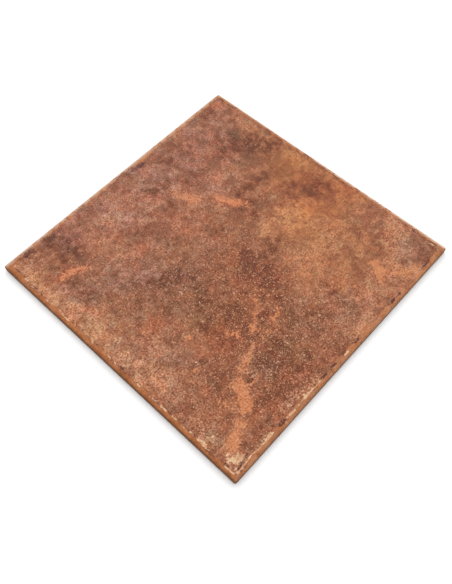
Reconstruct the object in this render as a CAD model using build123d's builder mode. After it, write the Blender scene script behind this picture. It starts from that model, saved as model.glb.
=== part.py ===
from build123d import *
import os
from math import pi, sin

# Rustic clinker floor tile, pressed and fired as one piece, lying on its back. The origin is the
# centre of the bedding plane, where the crowns of the back ribs rest, +Z points out of the wear
# face, and X and Y run along the sides. Millimetres.

# The body
SIDE = 330.0  # edge length, wall to wall
THICKNESS = 8.5  # from the rib crowns to the wear face
CORNER_RADIUS = 2.2  # of the wall, in plan
BACK_ARRIS = 1.2  # chamfer between the wall and the back

# The sloping rim, whose inner line wavers like a hand-struck edge
RIM_WIDTH = 4.6  # mean, in plan, from the wall to the wear face
RIM_DROP = 1.6  # from the wear face down to the top of the wall
RIM_SECTIONS = 3  # outlines that the curved rim is lofted through
CREST_RADIUS = 5.5  # corner radius of the wear face, in plan
WAVER = 1.2  # how far the inner line strays from its mean place
LONG_WAVE = 74.0  # lengths of the waves that make up the waver
MIDDLE_WAVE = 41.0
SHORT_WAVE = 29.0
POINTS_PER_WAVE = 6  # spline points on each short wave

# The keyed back, a grid of shallow pockets between raised ribs
POCKETS_PER_SIDE = 10
POCKET_DEPTH = 0.9
POCKET_CORNER = 3.0  # chamfer across each corner of a pocket, in plan
POCKET_DRAFT = 35.0  # degrees, so that the pressed blank leaves its die
RIB_WIDTH = 4.5  # at the crown
BACK_MARGIN = 13.0  # plain band between the wall and the outermost pockets

WALL_TOP = THICKNESS - RIM_DROP
POCKETS_SPAN = SIDE - 2 * BACK_MARGIN
POCKET_PITCH = (POCKETS_SPAN + RIB_WIDTH) / POCKETS_PER_SIDE
POCKET_SIZE = POCKET_PITCH - RIB_WIDTH


def stray(along, length, side):
    """How far the rim's inner line strays at a point on one side; nothing at either end."""
    waves = 0.0
    for order, wave in enumerate((LONG_WAVE, MIDDLE_WAVE, SHORT_WAVE)):
        half_waves = round(2 * SIDE / wave) + (side + order) % 3
        share = 1 / (order + 2)
        waves += share * (-1) ** (side // 2 + order) * sin(half_waves * pi * along / length)
    return WAVER * waves


def rim_outline(share):
    """Draws a closed outline of the rim: share 0 is on the wall, 1 is the wear face's edge."""
    inset = RIM_WIDTH * share
    radius = CORNER_RADIUS + (CREST_RADIUS - CORNER_RADIUS) * share
    reach = SIDE / 2 - inset
    length = 2 * (reach - radius)
    count = POINTS_PER_WAVE * round(SIDE / SHORT_WAVE)
    with BuildLine() as outline:
        for side in range(4):
            points = []
            for step in range(count + 1):
                along = length * step / count
                points.append((along - length / 2, share * stray(along, length, side) - reach))
            turn = Rotation(0, 0, 90 * side)
            edge = Spline(*points, tangents=[(1, 0), (1, 0)], mode=Mode.PRIVATE)
            add(turn * edge)
            corner = CenterArc((length / 2, radius - reach), radius, -90, 90, mode=Mode.PRIVATE)
            add(turn * corner)
    return outline


with BuildPart() as tile:
    # Straight-walled blank, eased where the wall meets the back
    with BuildSketch():
        RectangleRounded(SIDE, SIDE, CORNER_RADIUS)
    extrude(amount=WALL_TOP)
    chamfer(tile.faces().sort_by(Axis.Z)[0].edges(), BACK_ARRIS)

    # Rim that curves up from the wall and runs level into the wear face
    for section in range(RIM_SECTIONS):
        share = section / (RIM_SECTIONS - 1)
        drop = RIM_DROP * (1 - share) ** 2
        with BuildSketch(Plane.XY.offset(THICKNESS - drop)):
            add(rim_outline(share).line)
            make_face()
    loft()

    # Pockets pressed into the back
    with BuildSketch(Plane.XY) as pockets:
        with GridLocations(POCKET_PITCH, POCKET_PITCH, POCKETS_PER_SIDE, POCKETS_PER_SIDE):
            Rectangle(POCKET_SIZE, POCKET_SIZE)
        chamfer(pockets.vertices(), POCKET_CORNER)
    extrude(amount=POCKET_DEPTH, taper=POCKET_DRAFT, mode=Mode.SUBTRACT)

tile.part.label = "tile"

os.makedirs("parts", exist_ok=True)
export_step(tile.part, "parts/tile.step")
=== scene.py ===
import math

import bmesh
import bpy
import numpy as np
from mathutils import Matrix, Vector, noise
from mathutils.bvhtree import BVHTree


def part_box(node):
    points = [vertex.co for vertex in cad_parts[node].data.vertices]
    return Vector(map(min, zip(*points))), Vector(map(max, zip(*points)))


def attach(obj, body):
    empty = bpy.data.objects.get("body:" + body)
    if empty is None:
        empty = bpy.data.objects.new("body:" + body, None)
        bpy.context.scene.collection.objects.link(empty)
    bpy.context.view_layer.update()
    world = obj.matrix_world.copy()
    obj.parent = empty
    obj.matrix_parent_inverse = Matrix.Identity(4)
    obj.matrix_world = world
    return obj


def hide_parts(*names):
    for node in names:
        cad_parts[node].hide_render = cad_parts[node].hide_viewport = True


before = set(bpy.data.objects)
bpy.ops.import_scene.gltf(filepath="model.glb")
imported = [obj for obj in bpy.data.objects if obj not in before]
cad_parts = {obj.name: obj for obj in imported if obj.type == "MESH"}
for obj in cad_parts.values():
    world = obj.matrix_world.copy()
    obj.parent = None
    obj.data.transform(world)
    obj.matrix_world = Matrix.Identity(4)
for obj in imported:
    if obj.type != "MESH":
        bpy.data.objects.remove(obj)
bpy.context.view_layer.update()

# Looks of the clinker tile: a fine mesh with the solid's own section, a worn rim and a mottled glaze.
# Sizes are metres, apart from those of the glaze's strokes and noises, which are millimetres. Places on
# the face are measured from its centre, x to the right and y up, and the camera stands off its lower
# left corner.
MM = 0.001

# The solid's section
LOW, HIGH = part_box("tile")
HALF = HIGH.x
FACE = HIGH.z
RIM_WIDTH = 4.6 * MM
RIM_DROP = 1.6 * MM
WALL_TOP = FACE - RIM_DROP
CORNER_RADIUS = 2.2 * MM
ARRIS = 1.2 * MM

# The mesh
RIM_ZONE = 9 * MM  # band along the edges with the finer grid
RIM_STEP = 0.5 * MM
FIELD_STEP = 1.4 * MM
WALL_STEP = 0.9 * MM
WALL_FOOT = 0.4 * MM  # height of the strip that joins the fine wall to the arris
RAY_INSET = 1e-5  # share by which the rays onto the solid are drawn in from its outline
WELD = 1e-6  # distance within which two points of the solid are one
HAIR = 1e-5  # what a height of the solid may be out by
SHARP_ANGLE = math.radians(40)
GLAZED_TILT = 0.3  # how far a facet has to face upwards to be glazed
GLAZE_OVERRUN = 0.5 * MM  # how far below the wall's top a glazed facet may lie

# Relief, which only ever lowers the surface
CHIP_DEPTH = 0.45 * MM
CHIP_SIZE = 9 * MM
CHIP_REACH = 1.6 * MM
SWELL_DEPTH = 0.16 * MM
SWELL_SIZE = 34 * MM
PIT_DEPTH = 0.10 * MM
PIT_SIZE = 4.5 * MM
PIT_START = 0.15  # what is taken off the pits' noise, so that most of the face has none
FULL_RELIEF = 6  # millimetres from the crest at which swell and pits have their whole depth
WALL_ROUGHNESS = 0.10 * MM
WALL_GRAIN = 5 * MM
WALL_DRIFT = 3  # how fast the walls' roughness changes downwards, against along them

# Noise that is worked out vertex by vertex
SEED_STEP = (17.3, 9.1, 5.7)  # what each seed adds to a place
FALL_OFF = 1.0  # how much weaker each octave is
LACUNARITY = 2.0  # how much finer each octave is

# Each layer of the glaze is a list of strokes: a half width, a strength, and the points of its line.

# Patches of lighter glaze
LIGHT_STROKES = [
    # Slow changes across the face
    (22, 0.52, (-165, 150), (-165, -60)),
    (36, 0.33, (45, -128), (150, -118)),
    (24, 0.15, (125, -55), (150, -75)),
    (24, 0.25, (40, 80), (60, 60)),
    (24, 0.42, (-100, 75), (-60, 55)),
    (18, 0.35, (-145, 25), (-135, -40)),
    (24, 0.40, (-25, 118), (0, 118)),
    (16, 0.50, (-160, -125), (-150, -155)),
    # Left side
    (9, 0.6, (-152, 152), (-151, 100)),
    (12, 0.75, (-151, 82), (-151, 24)),
    (9, 0.6, (-148, 5), (-143, -15)),
    (10, 0.9, (-150, -36), (-142, -60)),
    (8, 0.7, (-122, -25), (-124, -20)),
    (8, 0.6, (-155, -118), (-152, -122)),
    # Upper half
    (9, 0.7, (-76, 83), (-66, 86)),
    (8, 0.6, (-52, 133), (-48, 128)),
    (7, 0.6, (-34, 113), (-28, 111)),
    (10, 0.6, (-72, 118), (-62, 114)),
    (10, 0.7, (-92, 148), (-86, 142)),
    (9, 0.6, (62, 92), (70, 88)),
    (8, 0.6, (33, 66), (38, 60)),
    (9, 0.4, (-4, 152), (2, 148)),
    (8, 0.5, (-16, 59), (6, 55)),
    (8, 0.5, (3, 42), (5, 38)),
    (6, 0.5, (58, 121), (60, 116)),
    (6, 0.5, (24, 108), (23, 102)),
    (9, 0.4, (32, 126), (38, 123)),
    (9, 0.4, (-92, 12), (-86, 8)),
    (8, 0.3, (62, 84), (66, 62)),
    (8, 0.5, (152, 116), (153, 106)),
    (10, 0.4, (140, 36), (152, 22)),
    (9, 0.3, (158, 120), (158, -60)),
    # Lower half
    (14, 0.7, (62, -8), (85, -12), (100, -20)),
    (12, 0.4, (75, -45), (85, -50)),
    (12, 0.4, (86, -96), (92, -98)),
    (8, 0.5, (-82, -103), (-76, -101)),
    (20, 0.45, (60, -55), (90, -60), (102, -50)),
    (14, 0.4, (62, -20), (100, -38)),
    (8, 0.8, (-22, -66), (-14, -70)),
    (13, 0.6, (30, -85), (55, -75)),
    (10, 0.5, (95, -128), (112, -148)),
    (12, 0.4, (52, -134), (60, -130)),
    (7, 0.8, (118, -156), (124, -154)),
    (6, 0.4, (155, -98), (155, -112)),
    (5, 0.6, (-85, -156), (-45, -156)),
    (8, 0.4, (-56, -150), (-44, -150)),
    (6, 0.5, (32, -157), (38, -157)),
]
# Patches of darker glaze
DARK_STROKES = [
    # Slow changes across the face
    (34, 0.34, (-80, 5), (-40, -20), (-10, -60)),
    (30, 0.30, (-60, -60), (-30, -110)),
    (26, 0.30, (-95, -125), (-60, -140)),
    (20, 0.28, (115, 95), (140, 72)),
    # Upper half
    (11, 0.8, (-112, 153), (-106, 142)),
    (11, 0.7, (-122, 124), (-96, 126)),
    (6, 0.8, (-141, 157), (-133, 157)),
    (7, 0.6, (-130, 96), (-125, 64)),
    (7, 0.5, (-98, 72), (-92, 65)),
    (10, 0.5, (-110, 40), (-92, 42)),
    (9, 0.5, (-40, 92), (-28, 84)),
    (6, 0.7, (-29, 57), (-24, 56)),
    (8, 0.7, (0, 120), (18, 114)),
    (5, 0.8, (13, 156), (28, 155)),
    (8, 0.5, (10, 92), (14, 88)),
    (10, 0.5, (42, 100), (66, 100)),
    (9, 0.5, (46, 138), (58, 133)),
    (8, 0.4, (78, 152), (92, 142)),
    (9, 0.9, (104, 101), (116, 97), (125, 88), (136, 86)),
    (8, 0.85, (124, 80), (138, 70), (155, 63)),
    (7, 0.6, (118, 116), (126, 108)),
    (6, 0.8, (142, 127), (148, 125)),
    (8, 0.5, (122, 154), (134, 150)),
    (8, 1.0, (68, 45), (84, 46)),
    (7, 0.6, (97, 40), (110, 42)),
    (8, 0.5, (16, 32), (26, 27)),
    (9, 0.5, (22, 53), (28, 47)),
    (8, 0.4, (34, 112), (38, 104)),
    (8, 0.4, (80, 112), (88, 104)),
    (8, 0.4, (66, 32), (74, 28)),
    (8, 0.5, (94, 2), (104, -4)),
    (7, 0.9, (58, 26), (62, 18)),
    (6, 0.5, (90, 22), (104, 18)),
    # Middle
    (11, 0.9, (-57, 26), (-45, 14)),
    (10, 0.6, (-76, 38), (-68, 33)),
    (7, 0.5, (-58, -14), (-52, -14)),
    (16, 0.25, (-62, -34), (-50, -42)),
    (8, 0.7, (12, -4), (14, -11)),
    (7, 0.7, (3, -24), (8, -28)),
    (9, 0.8, (20, -34), (28, -38)),
    (8, 0.9, (42, -26), (52, -28)),
    (10, 0.7, (10, -48), (2, -66)),
    (8, 0.6, (114, 9), (120, 4)),
    (8, 1.0, (122, -13), (130, -17)),
    (8, 0.9, (142, -14), (146, -24)),
    # Lower half
    (9, 0.7, (-66, -106), (-32, -106)),
    (14, 0.3, (-20, -95), (8, -110)),
    (6, 0.3, (-86, -112), (-78, -108)),
    (9, 0.6, (-108, -68), (-98, -75)),
    (8, 0.5, (-107, -90), (-102, -95)),
    (7, 0.3, (-31, -79), (-22, -77)),
    (9, 0.35, (-92, -134), (-60, -140), (-30, -138)),
    (6, 0.5, (-132, -148), (-118, -146)),
    (8, 0.7, (10, -114), (16, -119)),
    (7, 0.8, (44, -104), (49, -112)),
    (9, 0.5, (32, -124), (46, -132)),
    (7, 0.6, (74, -123), (78, -130)),
    (6, 0.5, (84, -108), (92, -102)),
    (6, 0.5, (104, -116), (118, -112)),
    (10, 0.2, (126, -118), (136, -122)),
    (6, 0.6, (124, -103), (134, -101)),
    (5, 0.7, (116, -84), (120, -84)),
    (7, 0.55, (138, -157), (153, -153), (157, -144)),
    (6, 0.4, (-12, -154), (4, -156)),
]
# Patches of yellower glaze
OCHRE_STROKES = [
    (18, 0.8, (60, -10), (86, -14), (100, -24)),
    (14, 0.7, (66, -30), (78, -42)),
    (18, 0.7, (116, 28), (132, -4)),
    (14, 0.6, (-26, -62), (-14, -68)),
    (38, 0.9, (138, 45), (140, -40)),
    (10, 0.4, (158, 130), (158, -60)),
    (50, 0.25, (70, -60), (90, -110)),
    (20, 0.5, (84, -34), (118, -52)),
    (18, 0.6, (45, -75), (78, -62)),
    (10, 0.6, (28, -84), (34, -88)),
    (24, 0.35, (60, -95), (110, -90)),
    (14, 0.9, (136, 36), (154, 26)),
    (11, 0.4, (150, 116), (154, 98)),
    (12, 0.5, (-152, 40), (-150, 22)),
    (9, 0.5, (-154, 152), (-152, 80)),
    (9, 0.5, (104, -142), (122, -156)),
    (8, 0.5, (42, -124), (56, -112)),
    (14, 0.6, (108, -28), (122, -40)),
    (12, 0.5, (156, -20), (157, -60)),
    (16, 0.4, (80, -100), (100, -98)),
    (18, 0.35, (-78, -48), (-40, -48)),
    (6, 0.6, (-128, 157), (-116, 157)),
    (13, 0.35, (-80, 127), (-58, 88)),
]
# Patches of greyer glaze
GREY_STROKES = [
    (60, 1.2, (-50, 130), (90, 130)),
    (40, 0.35, (-90, 40), (-40, 25)),
    (16, 0.6, (34, -128), (46, -124)),
    (17, 2.3, (-112, 150), (-100, 138)),
    (16, 0.5, (-122, -36), (-116, -40)),
    (12, 0.8, (24, 134), (12, 114)),
    (7, 1.0, (13, 156), (28, 155)),
    (13, 1.1, (-48, 20), (-44, 10)),
    (12, 1.0, (-138, 88), (-118, 72)),
    (14, 1.1, (-98, 60), (-72, 42)),
    (18, 0.6, (55, 130), (60, 106)),
    (12, 0.6, (54, 78), (66, 60)),
    (16, 0.6, (110, 98), (118, 84)),
    (10, 0.6, (-60, 152), (-50, 148)),
    (16, 0.8, (140, -140), (152, -150)),
    (9, 0.9, (-72, -112), (-54, -120)),
    (9, 0.7, (130, 138), (146, 124)),
    (10, 0.5, (-10, -120), (0, -116)),
    (10, 0.5, (-112, -76), (-100, -70)),
]
# Patches of redder glaze, or of less red where the strength is below nothing
RED_STROKES = [
    (16, 0.9, (-86, -54), (-70, -64)),
    (18, -0.8, (-112, 66), (-74, 60)),
    (22, -0.5, (-146, -14), (-118, -40)),
    (22, -0.6, (-75, -22), (-45, 10)),
    (18, -0.7, (-58, -108), (8, -103)),
    (16, -0.3, (20, -146), (44, -126)),
    (14, -0.3, (122, -146), (142, -142)),
    (14, -0.5, (-148, 44), (-136, 36)),
    (18, 0.4, (130, -15), (152, -34)),
    (14, 0.5, (34, 76), (40, 72)),
    (12, 0.2, (76, 122), (84, 116)),
    (14, 0.5, (58, 92), (66, 84)),
    (14, 0.5, (-22, -62), (-10, -66)),
    (8, 0.8, (50, 58), (58, 38)),
    (8, 0.9, (-134, 108), (-116, 102)),
    (16, 0.4, (-60, -78), (-30, -80)),
    (12, 0.3, (-110, -110), (-104, -125)),
    (14, 0.6, (-90, -145), (-50, -145)),
    (14, 0.3, (-30, -16), (-26, -18)),
    (10, 0.7, (14, -14), (22, -16)),
    (12, 0.6, (4, -46), (20, -56)),
    (8, 0.7, (52, -102), (58, -104)),
    (9, 0.2, (116, -106), (132, -104)),
    (10, 0.7, (140, 8), (134, 2)),
    (12, 0.5, (148, -34), (154, -44)),
    (12, 1.0, (-52, 70), (-38, 66)),
    (12, 0.7, (0, 80), (8, 74)),
    (10, 0.6, (-12, 58), (-4, 54)),
    (12, 0.7, (-118, 2), (-106, 0)),
    (9, 0.6, (136, 155), (156, 152)),
    (9, 0.6, (-142, 60), (-132, 54)),
    (8, 0.6, (90, 46), (96, 44)),
    (14, 0.55, (-80, 145), (-74, 104)),
    (14, -0.6, (60, 68), (70, 60)),
    (12, -0.5, (146, 98), (154, 90)),
    (14, -0.5, (54, -42), (66, -48)),
    (12, 0.5, (42, 42), (48, 34)),
    (14, 0.5, (-104, -48), (-96, -54)),
    (12, 0.5, (-2, 28), (4, 22)),
    (10, -0.5, (-158, 115), (-152, 105)),
    (12, -0.6, (124, -88), (140, -92)),
    (14, 0.6, (108, -26), (120, -34)),
    (14, 0.4, (-140, -86), (-95, -78)),
    (12, 0.4, (-66, 150), (-54, 150)),
    (12, 0.4, (48, 152), (62, 148)),
    (12, -0.4, (60, -12), (72, -20)),
    (12, -0.3, (54, -125), (56, -148)),
    (14, -0.4, (125, 58), (145, 45)),
]
# Veins and flakes where the glaze has left the salmon body bare
SALMON_STROKES = [
    # The vein from the lower left corner to the middle
    (5.6, 0.95, (-147, -144), (-139, -139)),
    (5.2, 1.15, (-139, -138.5), (-130, -135), (-122, -132)),
    (5.8, 1.7, (-104, -123), (-98, -114), (-96, -106)),
    (2.6, 1.3, (-112, -126), (-106, -128)),
    (1.8, 1.3, (-91, -107), (-91, -102)),
    (4.0, 0.75, (-82, -98), (-72, -96)),
    (3.0, 0.75, (-72, -95), (-64, -92)),
    (2.2, 0.9, (-62, -91), (-54, -88)),
    (9.0, 0.42, (-122, -108), (-112, -122)),
    (1.5, 0.4, (-119.5, -100), (-117, -110)),
    (1.3, 1.0, (-88, -114), (-78, -114), (-74, -110)),
    # Flakes past its end and left of it
    (3.0, 0.45, (-50, -92), (-22, -92)),
    (2.6, 0.9, (-47, -78), (-41, -73)),
    (4.0, 0.75, (-39, -76), (-34, -72)),
    (3.2, 0.75, (-40, -82), (-37, -86)),
    (3.6, 0.9, (-22, -85), (-15, -85), (-9, -81)),
    (2.2, 1.0, (-59, -70), (-57, -76)),
    (2.0, 0.9, (-65, -64), (-54, -67)),
    (1.8, 0.9, (-31, -63), (-27, -69)),
    (4.0, 0.6, (-17, -54), (-18, -60)),
    (2.2, 0.85, (-115, -63), (-110, -68)),
    (3.6, 0.85, (-94, -36), (-91, -36)),
    (6.0, 0.45, (-118, 3), (-110, 0)),
    # Upper left corner
    (5.0, 0.9, (-135, 108), (-124, 107)),
    (4.5, 0.7, (-120, 105), (-111, 102)),
    (3.0, 0.7, (-109, 99), (-104, 95)),
    # Upper half
    (6.5, 0.8, (29, 79), (36, 74)),
    (7.0, 0.75, (22, 95), (28, 86)),
    (5.0, 0.9, (49, 62), (53, 50), (58, 40)),
    (5.0, 0.75, (58, 40), (66, 31)),
    # Lower right corner and lower rim
    (5.5, 1.6, (98, -121), (92, -133)),
    (3.0, 0.6, (88, -137), (84, -139)),
    (7.0, 0.42, (103, -138), (108, -146)),
    (5.0, 0.5, (117, -156), (126, -155)),
    (5.0, 0.55, (33, -157), (37, -158)),
]
# Flakes of pale slip, most of them along the crest of the rim
CREAM_STROKES = [
    # Lower left corner
    (6.2, 1.0, (-153, -147), (-149, -152)),
    (2.6, 1.2, (-149, -154), (-144, -155)),
    (0.9, 1.1, (-160, -147), (-160.5, -159)),
    (0.9, 1.1, (-159, -160.5), (-146, -160)),
    (1.6, 0.7, (-158, -157), (-155, -158)),
    # Left rim
    (1.9, 1.4, (-159, -114), (-158.5, -122)),
    (1.1, 1.2, (-160, -122), (-160, -128)),
    (1.0, 1.1, (-158.5, -106), (-159, -103)),
    (0.8, 0.9, (-160, -97), (-160, -92)),
    (1.1, 1.2, (-159.5, -86), (-160, -81)),
    (0.9, 1.3, (-160, -73), (-160, -66)),
    (0.8, 1.0, (-160, -60), (-160, -50)),
    (1.1, 1.1, (-160, -37), (-160, -34)),
    (0.9, 0.9, (-159.5, -26), (-159, -22)),
    (0.9, 1.0, (-160, -4), (-159, 0)),
    (0.8, 0.9, (-159, 5), (-159, 8)),
    (1.3, 1.1, (-160, 28), (-159, 34)),
    (0.9, 0.9, (-159, 43), (-159, 47)),
    (1.1, 1.0, (-157.5, 51), (-157.5, 53)),
    (1.0, 1.2, (-160, 65), (-160, 76)),
    (0.8, 0.9, (-160, 95), (-160, 100)),
    (0.9, 1.0, (-160, 111), (-160, 118)),
    (1.2, 1.0, (-159, 131), (-159.5, 136)),
    (4.5, 0.55, (-153, -113), (-150, -124)),
    # Lower rim
    (0.7, 1.1, (-146, -160), (-134, -159), (-129, -160.5), (-108, -160.5)),
    (1.5, 1.3, (-117, -160), (-110, -159)),
    (0.8, 1.1, (-83, -160), (-79, -161)),
    (1.2, 1.2, (-64, -160.8), (-58, -160)),
    (0.7, 1.0, (-90, -160.3), (-40, -160.3)),
    (4.0, 0.48, (-80, -156), (-54, -156)),
    (3.0, 0.42, (-132, -157), (-112, -157)),
    (0.9, 1.0, (-22, -160), (-19, -161)),
    (0.9, 0.9, (-6, -161), (2, -161)),
    (1.0, 0.8, (18, -158), (21, -158)),
    (0.9, 0.9, (79, -160.5), (80, -160.5)),
    # Lower right corner
    (1.6, 0.7, (150, -159), (157, -159)),
    (0.7, 0.9, (158, -148), (159, -158)),
]
# Drops of dark glaze
DROP_STROKES = [
    # Lower left corner
    (1.8, 0.6, (-149, -157), (-138, -156)),
    (0.9, 1.0, (-158.5, -146), (-158.5, -152)),
    (0.9, 1.0, (-155, -158.5), (-150, -158.5)),
    # Left rim
    (1.2, 0.8, (-159, -108), (-158, -112)),
    (1.0, 0.8, (-159, -9), (-159, -13)),
    (0.9, 0.7, (-159.5, 112), (-159, 123)),
    (0.8, 0.6, (-159, 142), (-158, 154)),
    # Lower rim
    (1.9, 1.1, (-98, -160.5), (-92, -160.5)),
    (1.3, 1.0, (-37, -159.5), (-30, -160)),
    (1.1, 1.0, (-22, -159.5), (-16, -160)),
    (1.4, 0.8, (14, -160), (19, -160)),
    (1.2, 0.9, (74, -160), (81, -160.5)),
    (1.2, 0.9, (83, -160), (88, -160.5)),
    (0.8, 0.7, (128, -160), (143, -160)),
    # Upper rim
    (3.5, 0.7, (-140, 157), (-134, 157)),
    (3.5, 0.8, (14, 156), (27, 155)),
    # Crest of the right rim
    (0.8, 0.7, (160, 157), (160, 134)),
    (0.9, 0.7, (160.5, 72), (160, 58)),
    (0.7, 0.8, (161, 22), (161, -26)),
    (1.0, 0.8, (159, -126), (158, -131)),
    # On the face
    (2.5, 0.35, (117, -84), (120, -85)),
    (2.5, 0.5, (142, 125), (148, 124)),
    (2.0, 0.4, (156, -54), (156, -58)),
    (1.8, 0.4, (154, -72), (154, -78)),
]
# Places where the rim's worn band reaches further onto the face
WEAR_STROKES = [
    # Lower rim
    (4.0, 0.9, (-140, -160), (-136, -160)),
    (4.0, 1.0, (-105, -160), (-104, -160)),
    (3.0, 0.7, (-87, -160), (-85, -160)),
    (5.0, 0.6, (-74, -160), (-69, -160)),
    (3.0, 1.0, (-58, -160), (-56, -160)),
    (5.0, 1.1, (-13, -160), (-10, -160)),
    (4.0, 0.7, (5, -160), (8, -160)),
    (6.0, 1.6, (30, -160), (38, -160)),
    (5.0, 0.6, (58, -160), (66, -160)),
    # Left rim
    (4.0, 0.6, (-160, -43), (-160, -48)),
    (4.0, 0.6, (-160, 14), (-160, 20)),
    (4.0, 0.6, (-160, 84), (-160, 88)),
    (5.0, 0.7, (-160, 140), (-160, 156)),
    # Upper rim
    (4.0, 0.8, (-94, 160), (-91, 160)),
    (4.0, 0.5, (-36, 160), (-28, 160)),
    (5.0, 1.2, (29, 160), (37, 160)),
    (4.0, 0.5, (92, 160), (100, 160)),
]
# Painted highlight on the upper and right rims, where their slopes catch the light, and a little on the
# lower one
RIM_HIGHLIGHT_STROKES = [
    (4.0, 0.8, (-162, 165), (165, 165)),
    (2.0, 0.8, (165, 165), (165, 30)),
    (2.4, 1.5, (165, 10), (165, -162)),
    (3.2, 0.15, (-160, -162.5), (160, -162.5)),
]
# Painted shade along the foot of the left, lower and upper rims
FOOT_SHADE_STROKES = [
    (1.3, 1.0, (-165, 165), (-165, -165)),
    (0.7, 0.35, (-165, -165), (165, -165)),
    (0.8, 0.4, (-165, 165), (165, 165)),
]
# Where the pale dots are thickest
SPECKLE_STROKES = [
    (65, 0.9, (-80, -95), (-10, -60)),
    (40, 0.5, (30, -130), (-60, -130)),
    (45, 0.4, (-110, 0), (-60, 10)),
    (40, 0.3, (-100, 60), (0, 20)),
    (26, 0.4, (-150, -40), (-150, -110)),
    (6, 0.8, (-90, -155), (-45, -155)),
    (6, 0.6, (-135, -155), (-105, -156)),
    (7, 0.7, (-152, -105), (-150, -128)),
]

# The layers, by how far noise pulls their strokes out of true: a warp bends whole strokes, and a fray
# roughens their outlines
DRIFTED_LAYERS = {
    "light": LIGHT_STROKES,
    "dark": DARK_STROKES,
    "ochre": OCHRE_STROKES,
    "grey": GREY_STROKES,
    "red": RED_STROKES,
}
FRAYED_LAYERS = {"salmon": SALMON_STROKES}
RAGGED_LAYERS = {"cream": CREAM_STROKES, "drops": DROP_STROKES, "wear": WEAR_STROKES}
# The rims' painted highlight and the painted shade along their foot, not pulled out of true
STRAIGHT_LAYERS = {"rim_highlight": RIM_HIGHLIGHT_STROKES, "foot": FOOT_SHADE_STROKES}
WARP_SIZE = 26
WARP_REACH = 6
FRAY_SIZE = 6
FRAY_REACH = 1.8
RAGGED_REACH = 0.5
SPECKLE_LIMIT = 1.6  # the most that overlapping strokes of speckle add up to

# Noises in the shaders: their largest features in millimetres, octaves, roughness and seed
MOTTLE = (22, 3, 1.0, 1)
CURDLE = (5, 4, 0.9, 3)
GRAIN = (1.7, 1, 1.0, 4)
SPECKS = (1.9, 1, 1.0, 5)
DEEP_CLOUDS = (18, 3, 0.9, 6)
RED_CLOUDS = (18, 4, 0.9, 7)
YELLOW_CLOUDS = (18, 4, 0.75, 8)
FLECKS = (4.0, 3, 0.9, 9)
RIM_WEAR = (12, 4, 0.8, 10)
# breaks in the painted shadow along the crest
CREST_SHADOW_BREAKS = (9, 3, 0.8, 12)
CLUSTERS = (8, 3, 0.9, 13)
CRUMBLE = (9, 2, 1.0, 15)
# breaks in the rims' painted highlight
RIM_HIGHLIGHT_BREAKS = (7, 4, 0.9, 16)
GRIT = (3.4, 1, 1.0, 17)
BODY_MOTTLE = (8, 4, 0.6, 21)
BODY_GRAIN = (1.2, 3, 0.6, 22)
OCTAVE_SPREAD = 0.1257  # standard deviation of one octave of such a noise

# Weights say how much each value counts, and the weight of one is a constant that is added. An edge is
# where a layer begins and where it is whole, as the value that rules it changes. A cover is how thickly
# the layer then lies. Colours are as painters' programs give them.

# How light the glaze is
CRUMBLE_EDGE = (-0.9, 0.9)
LIGHT_CRUMBLE = (-0.5, 1.25)  # weights of crumble and one, which multiply the light strokes
DARK_CRUMBLE = (1.1, 0.45)
CLOUD_EDGE = (-0.7, 0.7)
CLOUD_WEIGHTS = (0.07, 0.16, -0.08)  # of the mottle, its clouds with an edge, and one
CALM_WEIGHTS = (-0.35, -0.10, 1.0)  # of speckle, ochre and one, which multiply the clouds
TONE_WEIGHTS = (0.38, -0.35, -0.12, 1.0)  # of light, dark, speckle and clouds
MIDDLE_TONE = 0.471
TONE_STOPS = (
    (0.00, (115, 69, 50)),
    (0.15, (131, 82, 60)),
    (0.38, (153, 99, 74)),
    (0.60, (173, 117, 89)),
    (0.86, (196, 137, 105)),
    (1.00, (208, 148, 113)),
)

# Shares by which red, green and blue change
DEEPER = (0.039, -0.030, -0.067)
REDDER = (0.010, -0.007, 0.001)
YELLOWER = (0.004, -0.001, -0.048)
PALER = (0.041, 0.067, 0.095)
OCHRE = (0.04, -0.02, -0.20)
GREY = (-0.042, -0.003, 0.165)
RED = (0.06, -0.07, -0.11)

# What some of those changes are multiplied by
EVEN_WEIGHTS = (-0.4, 1.0)  # of ochre and one, for the clouds of colour
GRAIN_WEIGHTS = (1.0, 0.4)  # of grain and grit
CRISP_WEIGHTS = (-1.6, -1.3, 0.8, 4.0)  # of bare body, ochre, speckle and one, for the grain

# Ink-dark flecks
INK_WEIGHTS = (1.0, 0.4, -0.6, 0.1)  # of flecks, tone, speckle and ochre
INK_EDGE = (0.75, 1.35)
INK_COVER = 0.5
INK = (116, 69, 52)

# Pale dots, each in a cell of its own
DOT_WEIGHTS = (0.36, -0.25, 0.03)  # of speckle, tone and one
CLUSTER_EDGE = (-0.8, 1.5)
CLUSTER_WEIGHTS = (1.3, 0.35)  # of clusters and one, which multiply the share of cells with a dot
DOT_SIZES = ((1.45, 1.25), (2.6, 0.5), (4.4, 0.2))  # the cell's size, and how common such dots are
DOT_RADIUS = (0.24, 0.16)  # weights of chance and one, as shares of the cell
DOT_EDGE = (-0.06, 0.06)
DOT_CHANCE_EDGE = (0.0, 0.1)
DOT_COVER = 0.7
DOT = (211, 155, 121)

# Bare salmon body, and the halo round it
HALO_EDGE = (0.1, 1.0)
HALO_COVER = 0.5
HALO = (186, 118, 84)
BARE_WEIGHTS = (0.9, 0.5, 3.4, -2.3)  # of specks, curdle, strokes and one
BARE_EDGE = (-0.3, 0.4)
BARE_REACH = (0.03, 0.15)  # an edge of the strokes, with nothing bare outside it
BARE_COVER = 0.95
BARE = (204, 136, 97)
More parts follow.
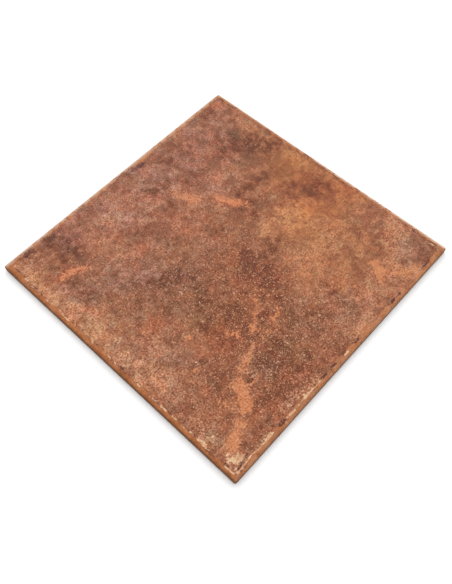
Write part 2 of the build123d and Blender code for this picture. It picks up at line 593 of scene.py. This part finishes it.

# The worn rim, its painted highlight, and the painted shadow along its crest
WEAR_WEIGHTS = (1.0, -3.2, 0.9)  # of the distance from the crest, strokes and noise
WORN_EDGE = (-0.6, -1.0)
RIM_WEIGHTS = (0.12, 0.10, 0.5)  # of mottle, grain and one
RIM_STOPS = (
    (0.15, (156, 95, 61)),
    (0.50, (179, 114, 76)),
    (0.85, (198, 134, 94)),
)
# Painted highlight on the rims' slopes, broken by noise
RIM_HIGHLIGHT_EDGE = (-1.4, 0.6)
RIM_HIGHLIGHT_COVER = 1.1
RIM_HIGHLIGHT = (222, 186, 160)
# Painted shadow along the crest of the rim, broken by noise
CREST_SHADOW_LOWER_EDGE = (-1.2, -0.7)
CREST_SHADOW_UPPER_EDGE = (0.6, 0.0)
CREST_SHADOW_BREAKS_EDGE = (-0.9, 0.6)
CREST_SHADOW_COVER = 0.65
CREST_SHADOW = (112, 66, 48)

# Pale slip, dark drops and painted shade along the rim's foot
SLIP_WEIGHTS = (1.1, 0.6, 4.2, -3.2)  # of specks, curdle, strokes and one
SLIP_EDGE = (-0.4, 0.6)
SLIP_REACH = (0.1, 0.3)
THICK_SLIP_EDGE = (-1.2, 0.8)
SLIP_COVER = 0.9
THIN_SLIP = (206, 152, 114)
THICK_SLIP = (233, 196, 157)
DROP_WEIGHTS = (0.8, 1.0, 4.0, 0.0)
DROP_EDGE = (1.6, 2.6)
DROP_REACH = (0.1, 0.3)
DROP_COVER = 0.85
DROP = (86, 53, 40)
# Painted shade along the rim's foot
FOOT_SHADE_COVER = 0.8
FOOT_SHADE = (92, 64, 47)

# The glaze's sheen
ROUGHNESS_WEIGHTS = (0.02, 0.55)  # of mottle and one
SPECULAR = 0.3
SHEEN = 0.03  # the white that it adds to every colour
DARKEST = 0.004  # what is left of a colour that the sheen outshines
BUMP_WEIGHTS = (0.06, 0.04)  # of curdle and grain
BUMP_DEPTH = 0.15 * MM

# The unglazed body, with pale kiln wash and painted highlight on the crowns of the back's ribs
BODY_WEIGHTS = (0.06, 0.07, 0.5)  # of mottle, grain and one
BODY_STOPS = (
    (0.10, (84, 62, 48)),
    (0.50, (114, 85, 66)),
    (0.90, (142, 110, 88)),
)
BODY_ROUGHNESS = 0.85
BODY_SPECULAR = 0.25
BODY_BUMP = 0.1
BODY_BUMP_DEPTH = 0.25 * MM
WASH_AND_HIGHLIGHT_HEIGHT = 0.3 * MM  # how far up the ribs it reaches
WASH_AND_HIGHLIGHT_EDGE = (-1.5, 1.0)
WASH_AND_HIGHLIGHT_COVER = 0.6
WASH_AND_HIGHLIGHT = (186, 164, 146)

# The camera, fitted to the tile's four edges in the photograph's frame
LENS = 40.207
SENSOR = 36.0
AIM = Vector((-26.98, -25.683, 0)) * MM
AZIMUTH = math.radians(-45.359)
ELEVATION = math.radians(61.76)
DISTANCE = 675.755 * MM
ROLL = math.radians(-2.056)

# Floor and light
WHITE = (1, 1, 1, 1)
FLOOR_SIZE = 8.0
FLOOR_GAP = 0.02 * MM  # under the tile, so that no two surfaces share a plane
FLOOR_LIFT = 0.12  # what the floor's white gains for the camera alone
SKY_STRENGTH = 0.62
SUN_STRENGTH = 1.45
SUN_ANGLE = math.radians(70)
SUN_FROM = Vector((0.42, 0.38, 1.0))


def srgb(red, green, blue):
    """A colour as painters' programs give it, turned into the linear one that shaders take."""
    linear = []
    for value in (red, green, blue):
        share = value / 255
        if share <= 0.04045:
            linear.append(share / 12.92)
        else:
            linear.append(((share + 0.055) / 1.055) ** 2.4)
    return (*linear, 1.0)


def glazed(red, green, blue):
    """The colour to write for one that is seen through the glaze's own sheen."""
    *linear, opaque = srgb(red, green, blue)
    return (*[max(value - SHEEN, DARKEST) for value in linear], opaque)


def fractal(places, size, octaves, seed):
    """Noise from about -1 to 1 at places on the face, with features of about the given size."""
    shift = Vector([seed * step for step in SEED_STEP])
    values = []
    for x, y in places:
        place = Vector((x, y, 0)) / size + shift
        values.append(noise.fractal(place, FALL_OFF, LACUNARITY, octaves))
    return np.array(values)


def line_distance(places, line):
    """Distance from each place to a line of straight runs."""
    nearest = np.full(len(places), np.inf)
    for start, end in zip(line[:-1], line[1:]):
        run = np.subtract(end, start)
        offset = places - np.array(start)
        share = np.clip(offset @ run / (run @ run), 0, 1)
        gap = np.linalg.norm(offset - share[:, None] * run, axis=1)
        nearest = np.minimum(nearest, gap)
    return nearest


def layer(places, strokes):
    """Sum of soft-edged strokes at each place."""
    total = np.zeros(len(places))
    for width, strength, *line in strokes:
        total += strength * np.exp(-((line_distance(places, line) / width) ** 2))
    return total


def grid_lines():
    """Lines of the grid across the face: close together over the rim, wider apart inside."""
    rim = np.arange(0, RIM_ZONE, RIM_STEP)
    count = round(2 * (HALF - RIM_ZONE) / FIELD_STEP)
    inner = np.linspace(RIM_ZONE - HALF, HALF - RIM_ZONE, count + 1)
    return np.concatenate([rim - HALF, inner, HALF - rim[::-1]])


def round_corners(x, y):
    """Pulls the grid's square corners in to the wall's corner radius."""
    start = HALF - CORNER_RADIUS
    past_x = np.maximum(np.abs(x) - start, 0)
    past_y = np.maximum(np.abs(y) - start, 0)
    corner = (past_x > 0) & (past_y > 0)
    scale = np.ones(len(x))
    scale[corner] = np.maximum(past_x, past_y)[corner] / np.hypot(past_x, past_y)[corner]
    x = np.where(corner, np.sign(x) * (start + past_x * scale), x)
    y = np.where(corner, np.sign(y) * (start + past_y * scale), y)
    return x, y


def solid_heights(solid, x, y):
    """Height of the solid's upper side at each place; the wall's top where a ray slips past it."""
    tree = BVHTree.FromPolygons(
        [vertex.co for vertex in solid.data.vertices],
        [tuple(face.vertices) for face in solid.data.polygons],
    )
    heights = np.full(len(x), WALL_TOP)
    for index in range(len(x)):
        above = Vector((x[index], y[index], 2 * FACE))
        hit = tree.ray_cast(above, Vector((0, 0, -1)))[0]
        if hit is not None:
            heights[index] = max(hit.z, WALL_TOP)
    return heights


def rim_distance(x, y, z):
    """Distance inwards from the rim's crest, in millimetres; less than nothing on the rim itself."""
    inset = HALF - np.maximum(np.abs(x), np.abs(y))
    slope = np.sqrt(np.clip((FACE - z) / RIM_DROP, 0, 1))
    inside = np.maximum(inset - RIM_WIDTH, 0)
    return (inside - slope * RIM_WIDTH) / MM


def face_relief(x, y, rim):
    """How far the worn surface lies below the solid's: chips along the crest, a slow swell and pits."""
    places = np.column_stack([x, y])
    chips = np.clip(fractal(places, CHIP_SIZE, octaves=3, seed=1), 0, 1)
    near_crest = np.exp(-((rim * MM / CHIP_REACH) ** 2))
    swell = np.clip(0.5 + 0.5 * fractal(places, SWELL_SIZE, octaves=2, seed=2), 0, 1)
    pits = np.clip(fractal(places, PIT_SIZE, octaves=2, seed=3) - PIT_START, 0, 1)
    on_face = np.clip(rim / FULL_RELIEF, 0, 1)
    return CHIP_DEPTH * chips * near_crest + (SWELL_DEPTH * swell + PIT_DEPTH * pits) * on_face


def face_grid(solid):
    """Vertices and faces of the face and the rim, and the vertices round their edge in order."""
    lines = grid_lines()
    count = len(lines)
    x, y = np.meshgrid(lines, lines, indexing="ij")
    x, y = round_corners(x.ravel(), y.ravel())
    z = solid_heights(solid, x * (1 - RAY_INSET), y * (1 - RAY_INSET))
    z = z - face_relief(x, y, rim_distance(x, y, z))

    index = np.arange(count * count).reshape(count, count)
    edge = np.concatenate([index[:-1, 0], index[-1, :-1], index[:0:-1, -1], index[0, :0:-1]])
    z[edge] = WALL_TOP
    quads = np.stack([index[:-1, :-1], index[1:, :-1], index[1:, 1:], index[:-1, 1:]], -1)
    return np.column_stack([x, y, z]), quads.reshape(-1, 4), edge


def upper_mesh(solid):
    """Vertices and faces of the face, the rim and the rough walls down to just above the arris."""
    grid, quads, edge = face_grid(solid)
    vertices = [grid]
    faces = [quads]
    outline = grid[edge, :2]
    foot = ARRIS + WALL_FOOT
    rows = round((WALL_TOP - foot) / WALL_STEP)
    above = edge
    made = len(grid)
    for row in range(1, rows + 1):
        level = WALL_TOP + (foot - WALL_TOP) * row / rows
        ring = outline
        if row < rows:
            places = outline + np.array([[0.0, level * WALL_DRIFT]])
            rough = WALL_ROUGHNESS * np.clip(fractal(places, WALL_GRAIN, octaves=3, seed=4), 0, 1)
            ring = outline * (1 - rough / HALF)[:, None]
        vertices.append(np.column_stack([ring, np.full(len(edge), level)]))
        below = made + np.arange(len(edge))
        made += len(edge)
        faces.append(np.stack([above, below, np.roll(below, -1), np.roll(above, -1)], -1))
        above = below
    return np.concatenate(vertices), np.concatenate(faces)


def back_of_solid(mesh, solid):
    """Adds the solid's own back, with its ribs, pockets and arris, to the mesh being built."""
    mesh.from_mesh(solid.data)
    bmesh.ops.remove_doubles(mesh, verts=mesh.verts, dist=WELD)
    upper = [face for face in mesh.faces if max(vert.co.z for vert in face.verts) > ARRIS + HAIR]
    bmesh.ops.delete(mesh, geom=upper, context="FACES")


def build_tile(solid):
    """The tile as one closed mesh."""
    vertices, faces = upper_mesh(solid)
    upper = bpy.data.meshes.new("upper")
    upper.from_pydata(vertices.tolist(), [], faces.tolist())

    work = bmesh.new()
    back_of_solid(work, solid)
    work.from_mesh(upper)
    open_edges = [edge for edge in work.edges if edge.is_boundary]
    bmesh.ops.bridge_loops(work, edges=open_edges)
    bmesh.ops.recalc_face_normals(work, faces=work.faces)
    mesh = bpy.data.meshes.new("clinker_tile")
    work.to_mesh(mesh)
    work.free()
    bpy.data.meshes.remove(upper)

    piece = bpy.data.objects.new("clinker_tile", mesh)
    bpy.context.scene.collection.objects.link(piece)
    return piece


def store(mesh, name, values):
    """Keeps one number for each vertex, for the glaze to read."""
    attribute = mesh.attributes.new(name, "FLOAT", "POINT")
    attribute.data.foreach_set("value", values.astype(np.float32))


def store_layers(mesh):
    """Works out the placed layers of the glaze at every vertex."""
    flat = np.empty(3 * len(mesh.vertices))
    mesh.vertices.foreach_get("co", flat)
    x, y, z = flat.reshape(-1, 3).T
    store(mesh, "rim", rim_distance(x, y, z))

    places = np.column_stack([x, y]) / MM
    warp = np.column_stack([fractal(places, WARP_SIZE, octaves=2, seed=seed) for seed in (11, 12)])
    fray = np.column_stack([fractal(places, FRAY_SIZE, octaves=3, seed=seed) for seed in (13, 14)])
    groups = (
        (DRIFTED_LAYERS, places + WARP_REACH * warp + FRAY_REACH * fray),
        (FRAYED_LAYERS, places + FRAY_REACH * fray),
        (RAGGED_LAYERS, places + RAGGED_REACH * fray),
        (STRAIGHT_LAYERS, places),
    )
    for layers, moved in groups:
        for name, strokes in layers.items():
            store(mesh, name, layer(moved, strokes))
    store(mesh, "speckle", np.minimum(layer(places, SPECKLE_STROKES), SPECKLE_LIMIT))


class Graph:
    """Adds nodes to one material. A value is a number, a colour or another node's output."""

    def __init__(self, name):
        self.material = bpy.data.materials.new(name)
        self.material.use_nodes = True
        self.tree = self.material.node_tree
        self.shader = self.tree.nodes["Principled BSDF"]
        self.place = self.add("ShaderNodeTexCoord").outputs["Object"]
        self.noises = {}

    def add(self, kind, **settings):
        """A new node with its settings."""
        node = self.tree.nodes.new(kind)
        for name, value in settings.items():
            setattr(node, name, value)
        return node

    def feed(self, socket, value):
        """Links a node's output to a socket, or sets the socket to a constant."""
        if isinstance(value, bpy.types.NodeSocket):
            self.tree.links.new(value, socket)
        else:
            socket.default_value = value

    def math(self, operation, *values):
        """The result of one operation on numbers."""
        node = self.add("ShaderNodeMath", operation=operation)
        for socket, value in zip(node.inputs, values):
            self.feed(socket, value)
        return node.outputs[0]

    def times(self, first, second):
        """The product of two values."""
        return self.math("MULTIPLY", first, second)

    def weighted(self, values, weights):
        """Adds up values, each times its weight, and a last weight that has no value as it is."""
        total = self.times(values[0], weights[0])
        for value, weight in zip(values[1:], weights[1:]):
            total = self.math("ADD", total, self.times(value, weight))
        for constant in weights[len(values):]:
            total = self.math("ADD", total, constant)
        return total

    def shift(self, colour, amount, change):
        """Makes red, green and blue each larger by its own share, times an amount that may be negative."""
        scaled = self.add("ShaderNodeVectorMath", operation="SCALE")
        self.feed(scaled.inputs["Vector"], change)
        self.feed(scaled.inputs["Scale"], amount)
        node = self.add("ShaderNodeVectorMath", operation="MULTIPLY_ADD")
        for socket, value in zip(node.inputs, (colour, scaled.outputs["Vector"], colour)):
            self.feed(socket, value)
        return node.outputs["Vector"]

    def noise(self, *recipe):
        """Noise about nothing with a spread of one. The same recipe gives the same node again."""
        if recipe not in self.noises:
            self.noises[recipe] = self.new_noise(*recipe)
        return self.noises[recipe]

    def new_noise(self, size, octaves, roughness, seed):
        """Adds the nodes of one noise; its largest features have a size in millimetres."""
        node = self.add("ShaderNodeTexNoise", noise_dimensions="4D")
        self.feed(node.inputs["Vector"], self.place)
        self.feed(node.inputs["W"], seed)
        self.feed(node.inputs["Scale"], 1 / (size * MM))
        self.feed(node.inputs["Detail"], octaves - 1)
        self.feed(node.inputs["Roughness"], roughness)
        shares = [roughness ** octave for octave in range(octaves)]
        spread = OCTAVE_SPREAD * math.hypot(*shares) / sum(shares)
        return self.math("DIVIDE", self.math("SUBTRACT", node.outputs["Fac"], 0.5), spread)

    def placed(self, name):
        """A layer that is stored on the mesh."""
        return self.add("ShaderNodeAttribute", attribute_name=name).outputs["Fac"]

    def dots(self, size, share):
        """Round specks of many sizes, at most one in each cell of a size in millimetres."""
        moved = self.add("ShaderNodeVectorMath", operation="ADD")
        self.feed(moved.inputs[0], self.place)
        self.feed(moved.inputs[1], (size, size, 0))
        node = self.add("ShaderNodeTexVoronoi", voronoi_dimensions="2D")
        self.feed(node.inputs["Vector"], moved.outputs["Vector"])
        self.feed(node.inputs["Scale"], 1 / (size * MM))
        chance = self.add("ShaderNodeSeparateColor")
        self.feed(chance.inputs["Color"], node.outputs["Color"])
        radius = self.weighted([chance.outputs["Green"]], DOT_RADIUS)
        inside = self.rise(self.math("SUBTRACT", radius, node.outputs["Distance"]), *DOT_EDGE)
        there = self.rise(self.math("SUBTRACT", share, chance.outputs["Red"]), *DOT_CHANCE_EDGE)
        return self.times(inside, there)

    def rise(self, value, start, end):
        """Goes smoothly from 0 to 1 as the value goes from start to end."""
        node = self.add("ShaderNodeMapRange", interpolation_type="SMOOTHSTEP")
        self.feed(node.inputs["Value"], value)
        self.feed(node.inputs["From Min"], start)
        self.feed(node.inputs["From Max"], end)
        return node.outputs["Result"]

    def mix(self, share, under, over):
        """One colour over another. The numbers are those of the node's sockets for colours."""
        node = self.add("ShaderNodeMix", data_type="RGBA")
        self.feed(node.inputs[0], share)
        self.feed(node.inputs[6], under)
        self.feed(node.inputs[7], over)
        return node.outputs[2]

    def coat(self, colour, share, cover, over):
        """Lays a second colour over a first, where its share says and as thickly as its cover."""
        return self.mix(self.times(share, cover), colour, over)

    def ramp(self, value, stops, paint):
        """A colour for every value from 0 to 1, between stops whose colours are turned into paint."""
        node = self.add("ShaderNodeValToRGB")
        elements = node.color_ramp.elements
        while len(elements) < len(stops):
            elements.new(0.5)
        for element, (position, colour) in zip(elements, stops):
            element.position = position
            element.color = paint(*colour)
        self.feed(node.inputs["Fac"], value)
        return node.outputs["Color"]

    def bump(self, height, depth):
        """Fine unevenness that only shading shows."""
        node = self.add("ShaderNodeBump")
        self.feed(node.inputs["Height"], height)
        self.feed(node.inputs["Distance"], depth)
        self.feed(self.shader.inputs["Normal"], node.outputs["Normal"])

    def surface(self, colour, roughness, specular):
        """Gives the shader its colour and its gloss."""
        self.feed(self.shader.inputs["Base Color"], colour)
        self.feed(self.shader.inputs["Roughness"], roughness)
        self.feed(self.shader.inputs["Specular IOR Level"], specular)


def grain_of(graph):
    """The glaze's finest unevenness."""
    return graph.weighted((graph.noise(*GRAIN), graph.noise(*GRIT)), GRAIN_WEIGHTS)


def tone_of(graph):
    """How light the glaze is: light and dark strokes, crumbled, on clouds that are calmer in places."""
    speckle = graph.placed("speckle")
    mottle = graph.noise(*MOTTLE)
    crumble = graph.rise(graph.noise(*CRUMBLE), *CRUMBLE_EDGE)
    light = graph.times(graph.placed("light"), graph.weighted([crumble], LIGHT_CRUMBLE))
    dark = graph.times(graph.placed("dark"), graph.weighted([crumble], DARK_CRUMBLE))
    clouds = graph.weighted((mottle, graph.rise(mottle, *CLOUD_EDGE)), CLOUD_WEIGHTS)
    calm = graph.weighted((speckle, graph.placed("ochre")), CALM_WEIGHTS)
    return graph.weighted((light, dark, speckle, graph.times(clouds, calm)), TONE_WEIGHTS)


def clouded(graph, tone):
    """The glaze's brown for each tone, in slow clouds of other hues."""
    colour = graph.ramp(graph.math("ADD", tone, MIDDLE_TONE), TONE_STOPS, glazed)
    even = graph.weighted([graph.placed("ochre")], EVEN_WEIGHTS)
    colour = graph.shift(colour, graph.times(graph.noise(*DEEP_CLOUDS), even), DEEPER)
    colour = graph.shift(colour, graph.noise(*RED_CLOUDS), REDDER)
    return graph.shift(colour, graph.times(graph.noise(*YELLOW_CLOUDS), even), YELLOWER)


def speckled(graph, colour, tone):
    """Ink-dark flecks, and clusters of pale dots in three sizes."""
    speckle = graph.placed("speckle")
    values = (graph.noise(*FLECKS), tone, speckle, graph.placed("ochre"))
    ink = graph.rise(graph.weighted(values, INK_WEIGHTS), *INK_EDGE)
    colour = graph.coat(colour, ink, INK_COVER, glazed(*INK))

    cluster = graph.rise(graph.noise(*CLUSTERS), *CLUSTER_EDGE)
    share = graph.weighted((speckle, tone), DOT_WEIGHTS)
    share = graph.times(share, graph.weighted([cluster], CLUSTER_WEIGHTS))
    for size, part in DOT_SIZES:
        dots = graph.dots(size, graph.times(share, part))
        colour = graph.coat(colour, dots, DOT_COVER, glazed(*DOT))
    return colour


def ragged_share(graph, strokes, weights, edge, reach):
    """Where a layer of strokes lies: ragged by noise, and nowhere beyond the strokes' reach."""
    values = (graph.noise(*SPECKS), graph.noise(*CURDLE), strokes)
    spread = graph.weighted(values, weights)
    return graph.times(graph.rise(spread, *edge), graph.rise(strokes, *reach))


def flaked(graph, colour):
    """Veins and flakes of bare salmon body with a soft halo, and the fine grain of all of it."""
    salmon = graph.placed("salmon")
    colour = graph.coat(colour, graph.rise(salmon, *HALO_EDGE), HALO_COVER, glazed(*HALO))
    bare = ragged_share(graph, salmon, BARE_WEIGHTS, BARE_EDGE, BARE_REACH)
    colour = graph.coat(colour, bare, BARE_COVER, glazed(*BARE))
    crisp = graph.weighted((bare, graph.placed("ochre"), graph.placed("speckle")), CRISP_WEIGHTS)
    return graph.shift(colour, graph.times(grain_of(graph), crisp), PALER)


def tinted(graph, colour):
    """The patches of other hues."""
    for name, change in (("ochre", OCHRE), ("grey", GREY), ("red", RED)):
        colour = graph.shift(colour, graph.placed(name), change)
    return colour


def rimmed(graph, colour):
    """The rim, worn back to the body, with painted highlight in places and painted shadow along its crest.
    """
    values = (graph.placed("rim"), graph.placed("wear"), graph.noise(*RIM_WEAR))
    uneven = graph.weighted(values, WEAR_WEIGHTS)
    rim_tone = graph.weighted((graph.noise(*MOTTLE), grain_of(graph)), RIM_WEIGHTS)
    rim_colour = graph.ramp(rim_tone, RIM_STOPS, glazed)
    colour = graph.mix(graph.rise(uneven, *WORN_EDGE), colour, rim_colour)

    # Painted highlight on the rims' slopes
    rim_highlight = graph.times(graph.placed("rim_highlight"), graph.rise(graph.noise(*RIM_HIGHLIGHT_BREAKS), *RIM_HIGHLIGHT_EDGE))
    colour = graph.coat(colour, rim_highlight, RIM_HIGHLIGHT_COVER, glazed(*RIM_HIGHLIGHT))
    # Painted shadow along the crest of the rim
    crest_band = graph.times(graph.rise(uneven, *CREST_SHADOW_LOWER_EDGE), graph.rise(uneven, *CREST_SHADOW_UPPER_EDGE))
    shade = graph.times(crest_band, graph.rise(graph.noise(*CREST_SHADOW_BREAKS), *CREST_SHADOW_BREAKS_EDGE))
    return graph.coat(colour, shade, CREST_SHADOW_COVER, glazed(*CREST_SHADOW))


def slipped(graph, colour):
    """Flakes of pale slip, drops of dark glaze and painted shade along the rim's foot."""
    slip = ragged_share(graph, graph.placed("cream"), SLIP_WEIGHTS, SLIP_EDGE, SLIP_REACH)
    thick = graph.rise(graph.noise(*CURDLE), *THICK_SLIP_EDGE)
    slip_colour = graph.mix(thick, glazed(*THIN_SLIP), glazed(*THICK_SLIP))
    colour = graph.coat(colour, slip, SLIP_COVER, slip_colour)
    drops = ragged_share(graph, graph.placed("drops"), DROP_WEIGHTS, DROP_EDGE, DROP_REACH)
    colour = graph.coat(colour, drops, DROP_COVER, glazed(*DROP))
    # Painted shade along the rim's foot
    return graph.coat(colour, graph.placed("foot"), FOOT_SHADE_COVER, glazed(*FOOT_SHADE))


def glaze():
    """Mottled rust-brown glaze, worn back to an orange body colour along the rim."""
    graph = Graph("glaze")
    tone = tone_of(graph)
    colour = clouded(graph, tone)
    colour = speckled(graph, colour, tone)
    for dressed in (flaked, tinted, rimmed, slipped):
        colour = dressed(graph, colour)
    roughness = graph.weighted([graph.noise(*MOTTLE)], ROUGHNESS_WEIGHTS)
    graph.surface(colour, roughness, SPECULAR)
    graph.bump(graph.weighted((graph.noise(*CURDLE), grain_of(graph)), BUMP_WEIGHTS), BUMP_DEPTH)
    return graph.material


def fired_body():
    """Unglazed red-brown stoneware of the walls and the back, with pale kiln wash and painted highlight on
    the ribs' crowns.
    """
    graph = Graph("fired_body")
    mottle = graph.noise(*BODY_MOTTLE)
    grain = graph.noise(*BODY_GRAIN)
    colour = graph.ramp(graph.weighted((mottle, grain), BODY_WEIGHTS), BODY_STOPS, srgb)
    split = graph.add("ShaderNodeSeparateXYZ")
    graph.feed(split.inputs["Vector"], graph.place)
    # Kiln wash and painted highlight on the ribs' crowns, lighter towards the bottom
    crown = graph.rise(split.outputs["Z"], WASH_AND_HIGHLIGHT_HEIGHT, 0.0)
    wash_and_highlight = graph.times(crown, graph.rise(mottle, *WASH_AND_HIGHLIGHT_EDGE))
    colour = graph.coat(colour, wash_and_highlight, WASH_AND_HIGHLIGHT_COVER, srgb(*WASH_AND_HIGHLIGHT))
    graph.surface(colour, BODY_ROUGHNESS, BODY_SPECULAR)
    graph.bump(graph.times(grain, BODY_BUMP), BODY_BUMP_DEPTH)
    return graph.material


def dress(piece):
    """Glaze on the face and rim, bare body elsewhere, with smooth shading."""
    mesh = piece.data
    mesh.materials.append(glaze())
    mesh.materials.append(fired_body())
    for face in mesh.polygons:
        on_top = face.normal.z > GLAZED_TILT and face.center.z > WALL_TOP - GLAZE_OVERRUN
        face.material_index = 0 if on_top else 1
    mesh.shade_smooth()
    mesh.set_sharp_from_angle(angle=SHARP_ANGLE)


def add_floor():
    """Plain white floor under the tile, which keeps its shadow."""
    reach = FLOOR_SIZE / 2
    corners = [(-reach, -reach, 0), (reach, -reach, 0), (reach, reach, 0), (-reach, reach, 0)]
    mesh = bpy.data.meshes.new("floor")
    mesh.from_pydata(corners, [], [(0, 1, 2, 3)])
    floor = bpy.data.objects.new("floor", mesh)
    floor.location.z = LOW.z - FLOOR_GAP
    bpy.context.scene.collection.objects.link(floor)

    graph = Graph("floor")
    graph.surface(WHITE, roughness=1.0, specular=0.0)
    graph.feed(graph.shader.inputs["Emission Color"], WHITE)
    seen = graph.add("ShaderNodeLightPath").outputs["Is Camera Ray"]
    graph.feed(graph.shader.inputs["Emission Strength"], graph.times(seen, FLOOR_LIFT))
    mesh.materials.append(graph.material)


def add_light():
    """Even white sky, and a broad soft key from behind the tile."""
    world = bpy.data.worlds.new("studio")
    bpy.context.scene.world = world
    world.use_nodes = True
    tree = world.node_tree
    background = tree.nodes["Background"]
    background.inputs["Color"].default_value = WHITE
    path = tree.nodes.new("ShaderNodeLightPath")
    seen = path.outputs["Is Camera Ray"]
    for name in ("Is Glossy Ray", "Is Transmission Ray"):
        either = tree.nodes.new("ShaderNodeMath")
        either.operation = "MAXIMUM"
        tree.links.new(seen, either.inputs[0])
        tree.links.new(path.outputs[name], either.inputs[1])
        seen = either.outputs[0]
    strength = tree.nodes.new("ShaderNodeMapRange")
    tree.links.new(seen, strength.inputs["Value"])
    strength.inputs["To Min"].default_value = SKY_STRENGTH
    strength.inputs["To Max"].default_value = 1.0
    tree.links.new(strength.outputs["Result"], background.inputs["Strength"])

    sun = bpy.data.lights.new("key", "SUN")
    sun.energy = SUN_STRENGTH
    sun.angle = SUN_ANGLE
    key = bpy.data.objects.new("key", sun)
    key.rotation_euler = SUN_FROM.to_track_quat("Z", "Y").to_euler()
    bpy.context.scene.collection.objects.link(key)


def add_camera():
    """The photograph's viewpoint."""
    data = bpy.data.cameras.new("camera")
    data.lens = LENS
    data.sensor_width = SENSOR
    data.sensor_fit = "AUTO"
    camera = bpy.data.objects.new("camera", data)
    level = Vector((math.sin(AZIMUTH), -math.cos(AZIMUTH), 0)) * math.cos(ELEVATION)
    back = level + Vector((0, 0, math.sin(ELEVATION)))
    stand = Matrix.Translation(AIM + DISTANCE * back)
    turn = back.to_track_quat("Z", "Y").to_matrix().to_4x4()
    camera.matrix_world = stand @ turn @ Matrix.Rotation(ROLL, 4, "Z")
    bpy.context.scene.collection.objects.link(camera)
    bpy.context.scene.camera = camera


tile = build_tile(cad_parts["tile"])
store_layers(tile.data)
dress(tile)
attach(tile, "root")
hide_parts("tile")

add_floor()
add_light()
add_camera()
bpy.context.scene.view_settings.view_transform = "Standard"
